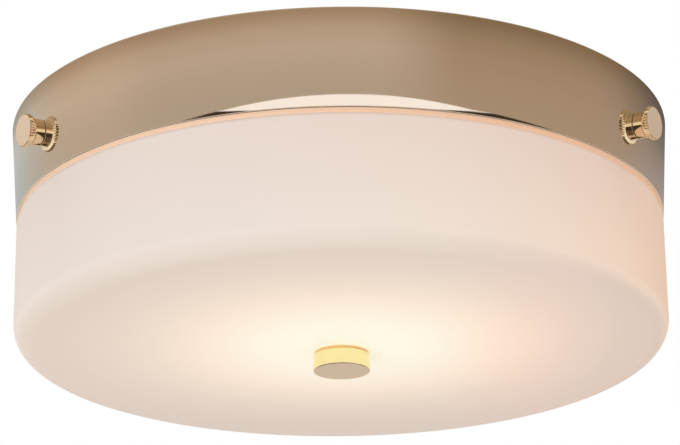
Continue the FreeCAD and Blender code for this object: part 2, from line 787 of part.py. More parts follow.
def bracket_rivets():
    """Two rivets that hold the bracket's foot under the tray floor."""
    grip = TRAY_T + BRACKET_T
    low = tray_under_z - BRACKET_T
    rivets = []
    for y in bracket_rivet_ys():
        rivet = lathe([
            (0, low - RIVET_HEAD_T),
            (RIVET_HEAD_R, low - RIVET_HEAD_T, RIVET_HEAD_T * 0.6),
            (RIVET_HEAD_R, low),
            (RIVET_R, low),
            (RIVET_R, low + grip),
            (RIVET_HEAD_R * 0.8, low + grip),
            (RIVET_HEAD_R * 0.8, low + grip + RIVET_HEAD_T),
            (0, low + grip + RIVET_HEAD_T),
        ])
        rivet.translate(Vector(bracket_rivet_x(), y, 0))
        rivets.append(rivet)
    return Part.makeCompound(rivets)


# ---------------------------------------------------------------- wiring above the tray
WAYS = (-1, 0, 1)
block_base_z = plate_under_z - BLOCK_BASE_T
block_axis_z = block_base_z - BLOCK_BARREL_R
block_under_z = block_axis_z - BLOCK_BARREL_R
block_lamp_y = BLOCK_Y - BLOCK_LEN / 2
block_supply_y = BLOCK_Y + BLOCK_LEN / 2
block_fixing_x = BLOCK_PITCH / 2
clamp_ys = (block_lamp_y + BLOCK_WELL_FROM_END, block_supply_y - BLOCK_WELL_FROM_END)
sleeve_cross_z = (tray_top_z + block_axis_z) / 2
wire_crossing = {
    "rear": (block_lamp_y - WIRE_LOOP_REAR, sleeve_cross_z - WIRE_R, WIRE_STRAIGHT_REAR),
    "front": (block_lamp_y - WIRE_LOOP_FRONT, sleeve_cross_z + WIRE_RISE_FRONT, WIRE_STRAIGHT_FRONT),
}
tag_top_z = plate_under_z - EARTH_WELD_T
tag_under_z = tag_top_z - EARTH_TAG_T


def terminal_block():
    """Three-way block under the plate: a base strip and one barrel for each way."""
    width = 2 * (BLOCK_PITCH + BLOCK_BARREL_R)
    block = rounded_box(width, BLOCK_LEN, BLOCK_BASE_CORNER_R, block_base_z, BLOCK_BASE_T)
    block.translate(Vector(0, BLOCK_Y, 0))
    for way in WAYS:
        x = way * BLOCK_PITCH
        block = block.fuse(along_y(BLOCK_BARREL_R, x, block_lamp_y, block_supply_y, block_axis_z))
        corner = Vector(x - BLOCK_NECK_W / 2, block_lamp_y, block_axis_z)
        block = block.fuse(Part.makeBox(BLOCK_NECK_W, BLOCK_LEN, BLOCK_BARREL_R, corner))
    block = block.removeSplitter()
    for way in WAYS:
        x = way * BLOCK_PITCH
        block = block.cut(along_y(BLOCK_BORE_R, x, block_lamp_y - 1, block_supply_y + 1, block_axis_z))
        for y in clamp_ys:
            block = block.cut(cylinder(BLOCK_WELL_R, block_under_z - 1, BLOCK_BARREL_R + 1, x, y))
    fixing = cylinder(BLOCK_FIXING_R + FIT, block_base_z - 1, BLOCK_BASE_T + 2, block_fixing_x, BLOCK_Y)
    return block.cut(fixing)


def along_y(radius, x, y0, y1, z):
    return Part.makeCylinder(radius, y1 - y0, Vector(x, y0, z), Vector(0, 1, 0))


def terminal_screws():
    """The six clamping screws in the block's wells, each with a driver slot below."""
    low = block_under_z + CLAMP_SCREW_SUNK
    screws = []
    for way in WAYS:
        for y in clamp_ys:
            x = way * BLOCK_PITCH
            body = cylinder(CLAMP_SCREW_R, low, CLAMP_SCREW_LEN, x, y)
            corner = Vector(x - BLOCK_WELL_R, y - CLAMP_SLOT_W / 2, low)
            screws.append(body.cut(Part.makeBox(2 * BLOCK_WELL_R, CLAMP_SLOT_W, CLAMP_SLOT_W, corner)))
    return Part.makeCompound(screws)


def block_screw():
    """Screw through the block's base into the ceiling plate."""
    length = BLOCK_BASE_T + PLATE_T
    screw = pan_screw(BLOCK_FIXING_HEAD_R, BLOCK_FIXING_HEAD_T, BLOCK_FIXING_R, length)
    screw.rotate(ORIGIN, X_AXIS, 180)
    screw.translate(Vector(block_fixing_x, BLOCK_Y, block_base_z))
    return screw


def sleeve_route(side):
    """From the back of a holder past its bracket, up through the tray and round to the block."""
    turn, round_to_block = (1, SLEEVE_ROUND_REAR) if side == "rear" else (-1, SLEEVE_ROUND_FRONT)
    x, y = turn * lead_corner_x(), turn * LAMP_SIDE_OFFSET
    start = Vector(turn * holder_back_x, y, lamp_z)
    risen = [start, Vector(x, y, lamp_z), Vector(x, y, sleeve_cross_z)]
    return risen + [Vector(x, y, sleeve_cross_z) for x, y in round_to_block]


def lamp_sleeve(side):
    return tube(sleeve_route(side), SLEEVE_R, f"lamp sleeve, {side}")


def lamp_wires(side):
    """The live and neutral wires that leave a sleeve's end, each for one outer way of the block."""
    near = -1 if side == "rear" else 1
    before, end = sleeve_route(side)[-2:]
    ahead = (end - before).normalize()
    beside = Z_AXIS.cross(ahead) * (WIRE_R + FIT) * near
    in_bore = near * (WIRE_R + FIT)
    near_x = near * BLOCK_PITCH + in_bore
    far_x = -near * BLOCK_PITCH + in_bore
    cross_y, cross_z, straight = wire_crossing[side]
    near_route = [
        end - beside,
        end - beside + ahead * straight,
        Vector(near_x, block_lamp_y - WIRE_TURN, block_axis_z),
        Vector(near_x, block_lamp_y, block_axis_z),
    ]
    far_route = [
        end + beside,
        end + beside + ahead * straight,
        Vector(near_x, cross_y, cross_z),
        Vector(far_x - near * WIRE_TURN / 4, cross_y, cross_z),
        Vector(far_x, block_lamp_y - WIRE_TURN, block_axis_z),
        Vector(far_x, block_lamp_y, block_axis_z),
    ]
    wires = [tube(route, WIRE_R, f"lamp wire, {side}") for route in (near_route, far_route)]
    return Part.makeCompound(wires)


def earth_stud():
    """Threaded stud on its weld foot under the plate."""
    stud = cylinder(EARTH_STUD_R, plate_under_z - EARTH_STUD_LEN, EARTH_STUD_LEN, EARTH_STUD_X, EARTH_STUD_Y)
    foot = cylinder(EARTH_WELD_R, tag_top_z, EARTH_WELD_T, EARTH_STUD_X, EARTH_STUD_Y)
    return stud.fuse(foot).removeSplitter()


earth_barrel_z = tag_under_z - EARTH_BARREL_R + EARTH_TAG_T
earth_barrel_x = EARTH_STUD_X - EARTH_TAG_TAIL_LEN - EARTH_BARREL_LEN


def earth_tag():
    """Ring tag on the stud with a crimp barrel for the earth wire."""
    tag = cylinder(EARTH_TAG_R, tag_under_z, EARTH_TAG_T, EARTH_STUD_X, EARTH_STUD_Y)
    tail_x = earth_barrel_x + EARTH_BARREL_LEN / 2
    corner = Vector(tail_x, EARTH_STUD_Y - EARTH_TAG_TAIL_W / 2, tag_under_z)
    tag = tag.fuse(Part.makeBox(EARTH_STUD_X - tail_x, EARTH_TAG_TAIL_W, EARTH_TAG_T, corner))
    barrel_end = earth_barrel_x + EARTH_BARREL_LEN
    barrel = rod_along_x(EARTH_BARREL_R, earth_barrel_x, barrel_end, EARTH_STUD_Y, earth_barrel_z)
    tag = tag.fuse(barrel).removeSplitter()
    return tag.cut(cylinder(EARTH_STUD_R + FIT, tag_under_z - 1, EARTH_TAG_T + 2, EARTH_STUD_X, EARTH_STUD_Y))


def earth_nut():
    nut = hexagon(EARTH_NUT_AF, tag_under_z - EARTH_NUT_T, EARTH_NUT_T, EARTH_STUD_R + FIT)
    nut.translate(Vector(EARTH_STUD_X, EARTH_STUD_Y, 0))
    return nut


def earth_wire():
    """From the tag's barrel to the middle way, on the supply side of the block."""
    return tube([
        Vector(earth_barrel_x, EARTH_STUD_Y, earth_barrel_z),
        Vector(earth_barrel_x - EARTH_WIRE_RUN, EARTH_STUD_Y, earth_barrel_z),
        Vector(0, EARTH_STUD_Y - EARTH_WIRE_SWAY, block_axis_z),
        Vector(0, block_supply_y, block_axis_z),
    ], EARTH_WIRE_R, "earth wire")


# ---------------------------------------------------------------- the assembly
def build():
    """Every sub-part in its place, by node name."""
    parts = {
        "ceiling_plate": ceiling_plate(),
        "cable_grommet": cable_grommet(),
        "canopy": canopy(),
        "gear_tray": gear_tray(),
        "tray_screws": tray_screws(),
        "glass_gasket": glass_gasket(),
        "centre_rod": centre_rod(),
        "rod_top_nut": rod_nut(True),
        "rod_lower_nut": rod_nut(False),
        "rod_washers": rod_washers(),
        "glass_shade": glass_shade(),
        "glass_bush": glass_bush(),
        "finial_washer": finial_washer(),
        "finial": finial(),
        "terminal_block": terminal_block(),
        "terminal_screws": terminal_screws(),
        "block_screw": block_screw(),
        "earth_stud": earth_stud(),
        "earth_tag": earth_tag(),
        "earth_nut": earth_nut(),
        "earth_wire": earth_wire(),
    }
    for side, azimuth in screw_azimuths.items():
        parts[f"screw_bush_{side}"] = on_canopy_wall(screw_bush(), azimuth)
        parts[f"bush_nut_{side}"] = on_canopy_wall(bush_nut(), azimuth)
        parts[f"screw_washer_{side}"] = on_canopy_wall(screw_washer(), azimuth)
        parts[f"thumb_screw_{side}"] = on_canopy_wall(thumb_screw(), azimuth)
        parts[f"screw_stem_{side}"] = on_canopy_wall(screw_stem(), azimuth)
    for side, turn in {"rear": 0, "front": 180}.items():
        parts[f"lamp_base_{side}"] = turned_about_z(lamp_base(), turn)
        parts[f"lamp_dome_{side}"] = turned_about_z(lamp_dome(), turn)
        parts[f"lamp_holder_{side}"] = turned_about_z(lamp_holder(), turn)
        parts[f"holder_bracket_{side}"] = turned_about_z(holder_bracket(), turn)
        parts[f"holder_screws_{side}"] = turned_about_z(holder_screws(), turn)
        parts[f"bracket_rivets_{side}"] = turned_about_z(bracket_rivets(), turn)
        parts[f"lamp_sleeve_{side}"] = lamp_sleeve(side)
        parts[f"lamp_wires_{side}"] = lamp_wires(side)
    return parts


os.makedirs("parts", exist_ok=True)
for name, shape in build().items():
    shape.exportStep(f"parts/{name}.step")
    state = "" if shape.isValid() else " INVALID"
    print(f"{name}: {len(shape.Solids)} solid(s), {shape.Volume / 1000:.2f} cm3{state}")
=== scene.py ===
"""Looks of the flush ceiling light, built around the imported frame.

Metres, +Z up. The light hangs from z = 0 and its front is -Y. Lengths in the profiles below are in
millimetres, as in the source, and are scaled once, when a mesh is made.
"""

import json
import math

import bmesh
import bpy
from mathutils import Matrix, Vector


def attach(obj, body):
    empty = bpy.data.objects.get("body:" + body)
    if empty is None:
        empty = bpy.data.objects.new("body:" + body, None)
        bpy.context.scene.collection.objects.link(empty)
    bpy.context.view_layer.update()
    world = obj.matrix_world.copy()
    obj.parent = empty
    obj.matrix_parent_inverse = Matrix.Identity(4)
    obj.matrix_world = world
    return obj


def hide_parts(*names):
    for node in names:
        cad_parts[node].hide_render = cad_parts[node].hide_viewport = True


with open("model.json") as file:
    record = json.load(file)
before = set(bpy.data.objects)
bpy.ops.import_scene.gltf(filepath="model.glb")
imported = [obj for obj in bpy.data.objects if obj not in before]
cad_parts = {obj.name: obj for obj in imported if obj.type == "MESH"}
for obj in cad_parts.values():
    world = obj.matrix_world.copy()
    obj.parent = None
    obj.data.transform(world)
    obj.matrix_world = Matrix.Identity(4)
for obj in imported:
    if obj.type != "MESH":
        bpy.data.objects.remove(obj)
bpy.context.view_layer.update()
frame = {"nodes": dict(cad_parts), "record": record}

MM = 0.001
scene = bpy.context.scene
record = frame["record"]
node_slot = {row["node"]: row["material_slot"] for row in record["subparts"]}

# ------------------------------------------------------------- sizes shared with the solids, in mm
CANOPY_TOP_R = 120.0
CANOPY_RIM_R = 117.7
RIM_Z = -35.0
SHEET = 1.2
LIP_R = 110.2
FLANGE_R = 114.0
SCREW_DEPTH = 22.0
WALL_SLOPE = (CANOPY_TOP_R - CANOPY_RIM_R) / -RIM_Z
WALL_TILT = math.atan(WALL_SLOPE)
WALL_R_AT_SCREW = CANOPY_TOP_R - WALL_SLOPE * SCREW_DEPTH
SCREW_AZIMUTHS = {"left": -147.0, "right": -33.0, "rear": 90.0}
TRAY_SCREW_R = 113.2
TRAY_SCREW_HOLE_R = 1.55

GLASS_R = 117.5
GLASS_TOP = -35.8
GLASS_BOTTOM = -82.0
GLASS_WALL = 4.0
GLASS_HOLE_R = 6.0
GLASS_NECK_R = 101.0
GLASS_NECK_TOP = -28.0

ROD_R = 3.0
ROD_TOP = -15.6
ROD_END = -86.45
THREAD_PITCH = 1.0
THREAD_DEPTH = 0.55
FINIAL_R = 10.2
FINIAL_TOP = -83.05
FINIAL_BOTTOM = -88.95
FINIAL_BORE_R = 3.6
FINIAL_BORE_SPARE = 1.4
FINIAL_WASHER_R = 9.9
FINIAL_WASHER_HOLE_R = 3.3
FINIAL_WASHER_T = 1.0
FINIAL_WASHER_GAP = 0.05

NECK_R = 4.6
SOCKET_R = 1.55
SOCKET_DEPTH = 4.2
SCREW_WASHER_R = 4.45
SCREW_WASHER_T = 0.4
BUSH_SHANK_R = 3.5
BUSH_SHANK_END = -7.0
BUSH_FLANGE_R = 6.2
BUSH_FLANGE_T = 1.1
BUSH_FLARE = 1.7
BUSH_TOP = 4.1
SCREW_NECK = 4.55
HEAD_R = 5.85
HEAD_FLARE = 7.85
HEAD_RIM = 9.35
HEAD_FACE = 10.75
KNURL_TEETH = 36
KNURL_DEPTH = 0.35
KNURL_SEGMENTS = KNURL_TEETH * 10

SHARP_ANGLE = 32.0


# ------------------------------------------------------------- mesh helpers
def finish_mesh(name, verts, faces, sharp_angle=SHARP_ANGLE):
    """A shaded mesh object from vertices in millimetres."""
    mesh = bpy.data.meshes.new(name)
    mesh.from_pydata([Vector(v) * MM for v in verts], [], faces)
    work = bmesh.new()
    work.from_mesh(mesh)
    bmesh.ops.recalc_face_normals(work, faces=work.faces)
    work.to_mesh(mesh)
    work.free()
    mesh.polygons.foreach_set("use_smooth", [True] * len(mesh.polygons))
    mesh.set_sharp_from_angle(angle=math.radians(sharp_angle))
    piece = bpy.data.objects.new(name, mesh)
    scene.collection.objects.link(piece)
    return piece


def rounded(corners, steps=10, support=0.18):
    """Profile points from (r, z) or (r, z, radius) corners of a closed outline.

    Each arc gets a support point a little way along the straight on either side of it, so that
    the shading of a long straight isn't bent by the arc.
    """
    count = len(corners)
    points = []
    for i, corner in enumerate(corners):
        here = Vector(corner[:2])
        radius = corner[2] if len(corner) > 2 else 0.0
        if radius == 0.0:
            points.append(here)
            continue
        before = Vector(corners[i - 1][:2])
        after = Vector(corners[(i + 1) % count][:2])
        back = (before - here).normalized()
        ahead = (after - here).normalized()
        half = back.angle(ahead) / 2
        reach = radius / math.tan(half)
        start, end = here + back * reach, here + ahead * reach
        centre = here + (back + ahead).normalized() * (radius / math.sin(half))
        points.append(start + back * support)
        first = start - centre
        sweep = first.angle_signed(end - centre)
        for k in range(steps + 1):
            turn = -sweep * k / steps
            arm = Vector((
                first.x * math.cos(turn) - first.y * math.sin(turn),
                first.x * math.sin(turn) + first.y * math.cos(turn),
            ))
            points.append(centre + arm)
        points.append(end + ahead * support)
    return [(p.x, p.y) for p in points]


def lathed(name, profile, segments=256, radius_at=None):
    """A closed profile of (r, z) turned about Z; radius_at(r, z, angle) may shape each ring."""
    verts, rows = [], []
    for r, z in profile:
        if r < 1e-6:
            rows.append([len(verts)])
            verts.append((0.0, 0.0, z))
            continue
        rows.append(list(range(len(verts), len(verts) + segments)))
        for k in range(segments):
            angle = 2 * math.pi * k / segments
            rim = radius_at(r, z, angle) if radius_at else r
            verts.append((rim * math.cos(angle), rim * math.sin(angle), z))
    faces = []
    for low, high in zip(rows, rows[1:] + rows[:1]):
        if len(low) == 1 and len(high) == 1:
            continue
        for k in range(segments):
            j = (k + 1) % segments
            quad = [low[k % len(low)], low[j % len(low)], high[j % len(high)], high[k % len(high)]]
            faces.append(list(dict.fromkeys(quad)))
    return finish_mesh(name, verts, faces)


def put_on_wall(piece, azimuth):
    """Carries a piece drawn about Z, with the wall's outer face at z = 0, to the canopy's wall."""
    place = (
        Matrix.Rotation(math.radians(azimuth), 4, "Z")
        @ Matrix.Translation(Vector((WALL_R_AT_SCREW, 0, -SCREW_DEPTH)) * MM)
        @ Matrix.Rotation(WALL_TILT, 4, "Y")
        @ Matrix.Rotation(math.pi / 2, 4, "Y")
    )
    piece.data.transform(place)
    return piece


def drilled(piece, holes):
    """Cuts cylinders out of a piece: each hole is (radius, length, matrix of its centre)."""
    drills = []
    for radius, length, place in holes:
        bpy.ops.mesh.primitive_cylinder_add(vertices=64, radius=radius * MM, depth=length * MM)
        drill = bpy.context.object
        drill.data.transform(place)
        drills.append(drill)
    for drill in drills:
        cut = piece.modifiers.new("hole", "BOOLEAN")
        cut.operation = "DIFFERENCE"
        cut.solver = "EXACT"
        cut.object = drill
    depsgraph = bpy.context.evaluated_depsgraph_get()
    mesh = bpy.data.meshes.new_from_object(piece.evaluated_get(depsgraph))
    piece.modifiers.clear()
    piece.data = mesh
    mesh.polygons.foreach_set("use_smooth", [True] * len(mesh.polygons))
    mesh.set_sharp_from_angle(angle=math.radians(SHARP_ANGLE))
    for drill in drills:
        bpy.data.objects.remove(drill)
    return piece


# ------------------------------------------------------------- node helpers
class Nodes:
    """Short calls for building one node tree."""

    def __init__(self, tree):
        self.tree = tree

    def add(self, kind, inputs=None, **settings):
        node = self.tree.nodes.new(kind)
        for key, value in settings.items():
            setattr(node, key, value)
        for key, value in (inputs or {}).items():
            self.feed(node.inputs[key], value)
        return node

    def feed(self, socket, value):
        if isinstance(value, bpy.types.NodeSocket):
            self.tree.links.new(value, socket)
        elif socket.type == "RGBA" and len(value) == 3:
            socket.default_value = (*value, 1.0)
        else:
            socket.default_value = value

    def math(self, operation, a, b=0.0, c=0.0):
        return self.add("ShaderNodeMath", {0: a, 1: b, 2: c}, operation=operation).outputs[0]

    def span(self, value, low, high, to_low=0.0, to_high=1.0, smooth=True):
        kind = "SMOOTHSTEP" if smooth else "LINEAR"
        return self.add("ShaderNodeMapRange", {
            "Value": value, "From Min": low, "From Max": high, "To Min": to_low, "To Max": to_high,
        }, interpolation_type=kind).outputs["Result"]

    def mix(self, factor, a, b, blend="MIX"):
        node = self.add("ShaderNodeMix", data_type="RGBA", blend_type=blend)
        self.feed(node.inputs[0], factor)
        self.feed(node.inputs[6], a)
        self.feed(node.inputs[7], b)
        return node.outputs[2]

    def ramp(self, value, stops, easing="LINEAR"):
        node = self.add("ShaderNodeValToRGB", {"Fac": value})
        node.color_ramp.interpolation = easing
        while len(node.color_ramp.elements) < len(stops):
            node.color_ramp.elements.new(1.0)
        for element, (place, colour) in zip(node.color_ramp.elements, stops):
            element.position = place
            element.color = (*colour, 1.0)
        return node.outputs["Color"]

    def noise(self, vector, scale, detail=3.0, roughness=0.5, distortion=0.0):
        return self.add("ShaderNodeTexNoise", {
            "Vector": vector, "Scale": scale, "Detail": detail, "Roughness": roughness,
            "Distortion": distortion,
        }).outputs["Fac"]

    def place(self):
        """Where the point lies in its piece, in metres."""
        return self.add("ShaderNodeTexCoord").outputs["Object"]

    def stretched(self, vector, scale):
        return self.add("ShaderNodeMapping", {"Vector": vector, "Scale": scale}).outputs[0]

    def bump(self, height, distance, strength=1.0, normal=None):
        inputs = {"Height": height, "Distance": distance, "Strength": strength}
        if normal is not None:
            inputs["Normal"] = normal
        return self.add("ShaderNodeBump", inputs).outputs["Normal"]


def surface(name, **sockets):
    """A new material, its node helper and its shader, with constants set on the shader itself."""
    material = bpy.data.materials.new(name)
    material.use_nodes = True
    nodes = Nodes(material.node_tree)
    shader = material.node_tree.nodes["Principled BSDF"]
    for key, value in sockets.items():
        nodes.feed(shader.inputs[key.replace("_", " ")], value)
    return material, nodes, shader


# ------------------------------------------------------------- materials
def polished_metal():
    """Pale gold plating over spun brass: a clear mirror with a very faint haze."""
    material, n, shader = surface("polished_metal", Metallic=1.0)
    where = n.place()
    cloud = n.noise(where, 22.0, 4.0)
    n.feed(shader.inputs["Base Color"], n.mix(cloud, (0.91, 0.78, 0.61), (0.89, 0.76, 0.60)))
    haze = n.noise(where, 60.0, 6.0, 0.65)
    n.feed(shader.inputs["Roughness"], n.span(haze, 0.35, 0.75, 0.004, 0.009))
    n.feed(shader.inputs["Normal"], n.bump(n.noise(where, 9.0, 1.0), 0.00002))
    return material


def turned_metal():
    """The same plating on small turned pieces, with their fine tool marks and satin end faces."""
    material, n, shader = surface("turned_metal")
    where = n.place()
    cloud = n.noise(where, 300.0, 3.0)
    satin = n.add("ShaderNodeAttribute", attribute_name="satin").outputs["Fac"]
    turned = n.mix(cloud, (0.90, 0.71, 0.45), (0.83, 0.65, 0.41))
    n.feed(shader.inputs["Base Color"], n.mix(satin, turned, (0.94, 0.71, 0.51)))
    n.feed(shader.inputs["Metallic"], n.math("MULTIPLY_ADD", satin, -0.8, 1.0))
    gloss = n.span(n.noise(where, 900.0, 5.0), 0.3, 0.8, 0.05, 0.10)
    n.feed(shader.inputs["Roughness"], n.math("MULTIPLY_ADD", satin, 0.24, gloss))
    n.feed(shader.inputs["Normal"], n.bump(n.noise(where, 2500.0, 3.0), 0.000003))
    return material


def finial_metal():
    """The plating on the finial, with a painted reflection of the glowing glass: its side gets a
    yellower base colour by the direction it faces.
    """
    material, n, shader = surface("finial_metal", Metallic=1.0)
    where = n.place()
    facing = n.add("ShaderNodeNewGeometry").outputs["Normal"]
    down = n.math("ABSOLUTE", n.add("ShaderNodeSeparateXYZ", {"Vector": facing}).outputs[2])
    cloud = n.noise(where, 200.0, 3.0)
    face = n.mix(cloud, (0.91, 0.78, 0.61), (0.88, 0.75, 0.59))
    # painted reflection: the side, where the normal is level, gets a yellow base colour for the glowing
    # glass it faces; the end faces keep the plating's tone
    n.feed(shader.inputs["Base Color"], n.mix(n.span(down, 0.5, 0.95), (1.0, 0.88, 0.48), face))
    n.feed(shader.inputs["Roughness"], n.span(n.noise(where, 700.0, 5.0), 0.3, 0.8, 0.04, 0.09))
    n.feed(shader.inputs["Normal"], n.bump(n.noise(where, 1800.0, 3.0), 0.000002))
    return material


def opal_glass():
    """Opal glass with a satin skin; the light of the lamps inside is painted into its emission by
    position, brightest under the lamps.
    """
    material, n, shader = surface("opal_glass", Specular_IOR_Level=0.5)
    where = n.place()
    split = n.add("ShaderNodeSeparateXYZ", {"Vector": where})
    x, y, z = split.outputs
    cloud = n.noise(where, 18.0, 3.0)
    n.feed(shader.inputs["Base Color"], n.mix(cloud, (0.80, 0.745, 0.70), (0.82, 0.765, 0.72)))
    n.feed(shader.inputs["Roughness"], n.span(n.noise(where, 500.0, 4.0), 0.3, 0.7, 0.36, 0.44))
    n.feed(shader.inputs["Normal"], n.bump(n.noise(where, 1400.0, 4.0), 0.00002, 0.4))

    # painted glow on the floor of the drum, by distance from the middle of its glow
    off = n.add("ShaderNodeVectorMath", {0: where, 1: (-0.0024, 0.0082, 0.0)}, operation="ADD")
    flat = n.add(
        "ShaderNodeVectorMath", {0: off.outputs[0], 1: (1.0, 1.0, 0.0)}, operation="MULTIPLY")
    far = n.add("ShaderNodeVectorMath", {0: flat.outputs[0]}, operation="LENGTH").outputs["Value"]
    under = n.ramp(n.math("DIVIDE", far, GLASS_R * MM), [
        (0.00, (0.48, 0.51, 0.39)),
        (0.25, (0.445, 0.42, 0.31)),
        (0.45, (0.415, 0.31, 0.20)),
        (0.65, (0.29, 0.20, 0.13)),
        (0.85, (0.215, 0.145, 0.097)),
        (1.00, (0.20, 0.128, 0.085)),
    ])
    # painted light: the floor's glow is tinted peachier a little right of the middle, dimmer and
    # yellower towards the right edge, and dimmer towards the back
    for along, low, high, tint in (
        (x, 0.030, 0.075, (1.12, 0.87, 0.80)),
        (x, 0.070, 0.110, (0.80, 0.84, 0.72)),
        (y, 0.030, 0.110, (0.84, 0.82, 0.76)),
    ):
        tinted = n.mix(1.0, under, tint, "MULTIPLY")
        under = n.mix(n.span(along, low, high), under, tinted)

    # painted glow on its side, from left to right, near the neck and near the floor, warmest and
    # brightest towards the right
    across = n.span(x, -0.12, 0.12, smooth=False)
    upper = n.ramp(across, [
        (0.00, (0.19, 0.12, 0.09)),
        (0.10, (0.112, 0.056, 0.036)),
        (0.35, (0.132, 0.057, 0.024)),
        (0.65, (0.19, 0.09, 0.036)),
        (0.90, (0.243, 0.09, 0.018)),
        (1.00, (0.29, 0.125, 0.02)),
    ])
    lower = n.ramp(across, [
        (0.00, (0.21, 0.145, 0.115)),
        (0.10, (0.137, 0.086, 0.064)),
        (0.35, (0.15, 0.097, 0.073)),
        (0.65, (0.237, 0.156, 0.10)),
        (0.89, (0.325, 0.16, 0.06)),
        (1.00, (0.305, 0.12, 0.0)),
    ])
    side = n.mix(n.span(z, -0.040, -0.070, smooth=False), upper, lower)
    glow = n.mix(n.span(z, -0.0745, GLASS_BOTTOM * MM), side, under)
    # painted glow: a bright band along the top of the shoulder, under the canopy's lip, which the lip's
    # underside mirrors as a warm strip
    painted_shoulder_glow = n.mix(n.span(x, -0.06, 0.09), (0.49, 0.44, 0.44), (0.45, 0.36, 0.33))
    glow = n.mix(n.span(z, -0.0365, -0.0359), glow, painted_shoulder_glow)
    n.feed(shader.inputs["Emission Color"], glow)
    shader.inputs["Emission Strength"].default_value = 1.0
    return material


def plain(name, one, two, scale, rough, depth=0.0, **sockets):
    """A surface whose tone, gloss and fine relief vary by one noise."""
    material, n, shader = surface(name, **sockets)
    where = n.place()
    grain = n.noise(where, scale, 5.0, 0.6)
    n.feed(shader.inputs["Base Color"], n.mix(grain, one, two))
    n.feed(shader.inputs["Roughness"], n.span(grain, 0.3, 0.7, rough[0], rough[1]))
    if depth:
        n.feed(shader.inputs["Normal"], n.bump(grain, depth))
    return material


def zinc_steel():
    """Zinc plating: fine spangles in tone and gloss, with rolling lines."""
    material, n, shader = surface("zinc_steel", Metallic=1.0)
    where = n.place()
    spangle = n.add("ShaderNodeTexVoronoi", {"Vector": where, "Scale": 420.0}).outputs["Color"]
    tone = n.add("ShaderNodeSeparateColor", {"Color": spangle}).outputs[0]
    lines = n.noise(n.stretched(where, (20.0, 2400.0, 2400.0)), 1.0, 3.0)
    n.feed(shader.inputs["Base Color"], n.mix(tone, (0.70, 0.71, 0.72), (0.78, 0.78, 0.77)))
    rough = n.math("ADD", n.span(tone, 0.0, 1.0, 0.24, 0.38), n.math("MULTIPLY", lines, 0.06))
    n.feed(shader.inputs["Roughness"], rough)
    n.feed(shader.inputs["Normal"], n.bump(lines, 0.000004))
    return material


def foam():
    """Closed-cell foam: small pits all over."""
    material, n, shader = surface("white_foam", Specular_IOR_Level=0.2)
    where = n.place()
    cells = n.add("ShaderNodeTexVoronoi", {"Vector": where, "Scale": 1100.0}).outputs["Distance"]
    n.feed(shader.inputs["Base Color"], n.mix(cells, (0.66, 0.63, 0.57), (0.84, 0.82, 0.77)))
    n.feed(shader.inputs["Roughness"], n.span(cells, 0.0, 0.7, 0.95, 0.75))
    n.feed(shader.inputs["Normal"], n.bump(cells, 0.0003))
    return material


def braid():
    """Woven glass-fibre sleeving: two sets of strands that cross."""
    material, n, shader = surface("sleeving", Specular_IOR_Level=0.3)
    where = n.place()
    waves = []
    for turn in (0.9, -0.9):
        mapped = n.add("ShaderNodeMapping", {"Vector": where, "Rotation": (turn, turn, 0.4)}).outputs[0]
        waves.append(n.add("ShaderNodeTexWave", {"Vector": mapped, "Scale": 420.0}).outputs["Fac"])
    weave = n.math("MAXIMUM", waves[0], waves[1])
    n.feed(shader.inputs["Base Color"], n.mix(weave, (0.52, 0.49, 0.42), (0.82, 0.80, 0.73)))
    n.feed(shader.inputs["Roughness"], n.span(weave, 0.0, 1.0, 0.9, 0.62))
    n.feed(shader.inputs["Normal"], n.bump(weave, 0.0002))
    return material


def lamp_cover():
    """Frosted lamp cover, glowing warm, a little dimmer towards its ends."""
    material, n, shader = surface("lamp_cover", Roughness=0.4, Emission_Strength=1.0)
    where = n.place()
    grain = n.noise(where, 220.0, 4.0)
    x = n.add("ShaderNodeSeparateXYZ", {"Vector": where}).outputs[0]
    middle = n.span(n.math("ABSOLUTE", x), 0.0, 0.022, 1.0, 0.75)
    n.feed(shader.inputs["Base Color"], n.mix(grain, (0.86, 0.84, 0.80), (0.91, 0.89, 0.85)))
    n.feed(shader.inputs["Roughness"], n.span(grain, 0.3, 0.7, 0.35, 0.5))
    glow = n.mix(middle, (0.40, 0.32, 0.20), (0.62, 0.55, 0.42))
    n.feed(shader.inputs["Emission Color"], glow)
    return material


def clear_washer():
    """Milky washer between glass and finial, orange-brown, with a painted yellowish glow in its
    emission for the lamps' light showing through it.
    """
    material, n, shader = surface("clear_washer", Emission_Strength=1.0)
    where = n.place()
    grain = n.noise(where, 500.0, 4.0)
    n.feed(shader.inputs["Base Color"], n.mix(grain, (0.70, 0.46, 0.21), (0.76, 0.52, 0.25)))
    n.feed(shader.inputs["Roughness"], n.span(grain, 0.3, 0.7, 0.25, 0.4))
    # painted glow: a faint yellow-orange emission on a washer that is no lamp
    n.feed(shader.inputs["Emission Color"], n.mix(grain, (0.17, 0.08, 0.01), (0.22, 0.11, 0.015)))
    return material


